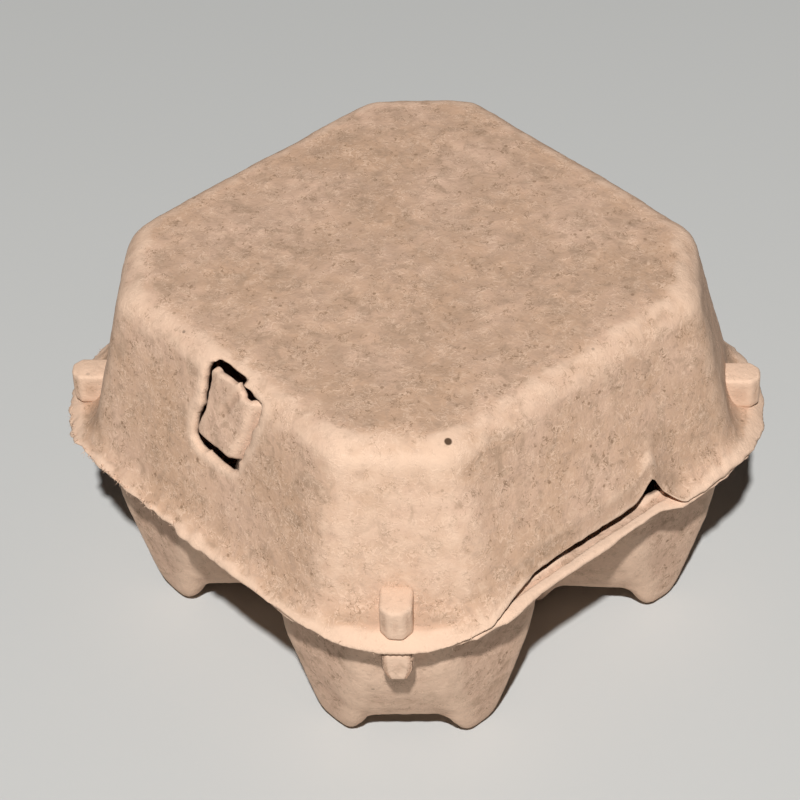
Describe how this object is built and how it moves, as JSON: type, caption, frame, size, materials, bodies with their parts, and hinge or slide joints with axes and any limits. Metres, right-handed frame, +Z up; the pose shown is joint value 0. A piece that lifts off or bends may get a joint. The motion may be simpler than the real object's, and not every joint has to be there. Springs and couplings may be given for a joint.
{
  "type": "egg carton",
  "caption": "Square moulded-pulp egg carton with footed tapered cells, a hinged octagonal lid, corner lugs and a push-in lock button in a front window.",
  "frame": {"origin": "middle of the footprint, on the plane that the feet stand on", "axes": "+Z up, -Y towards the lock at the front, +Y towards the lid's hinge, +X to the right"},
  "size_m": [0.108, 0.1097, 0.072],
  "materials": {
    "tray_pulp": "rough moulded paper pulp",
    "lid_pulp": "rough moulded paper pulp",
    "lock_pulp": "rough moulded paper pulp, creased"
  },
  "bodies": {
    "tray": {"cup_front_left": "tray_pulp", "cup_front_right": "tray_pulp", "cup_rear_left": "tray_pulp", "cup_rear_right": "tray_pulp", "tray_flange": "tray_pulp", "tray_deck": "tray_pulp", "centre_post": "tray_pulp", "tray_corner_lugs": "tray_pulp", "rear_hinge": "tray_pulp", "tongue_fold": "tray_pulp"},
    "lid": {"lid_roof": "lid_pulp", "lid_walls": "lid_pulp", "lid_flange": "lid_pulp", "lid_corner_lugs": "lid_pulp"},
    "lock_flap": {"lock_tongue": "lock_pulp", "lock_button": "lock_pulp"}
  },
  "joints": [
    {"name": "lid_hinge", "type": "hinge", "parent": "tray", "child": "lid", "pos_m": [0, 0.055, 0.03865], "axis": [-1, 0, 0], "range_deg": [0, 180], "deforming": ["lock_button"]},
    {"name": "lock_press", "type": "hinge", "parent": "tray", "child": "lock_flap", "pos_m": [0, -0.04835, 0.03925], "axis": [-1, 0, 0], "range_deg": [0, 12], "stiffness_Nm_per_rad": 0.1}
  ]
}
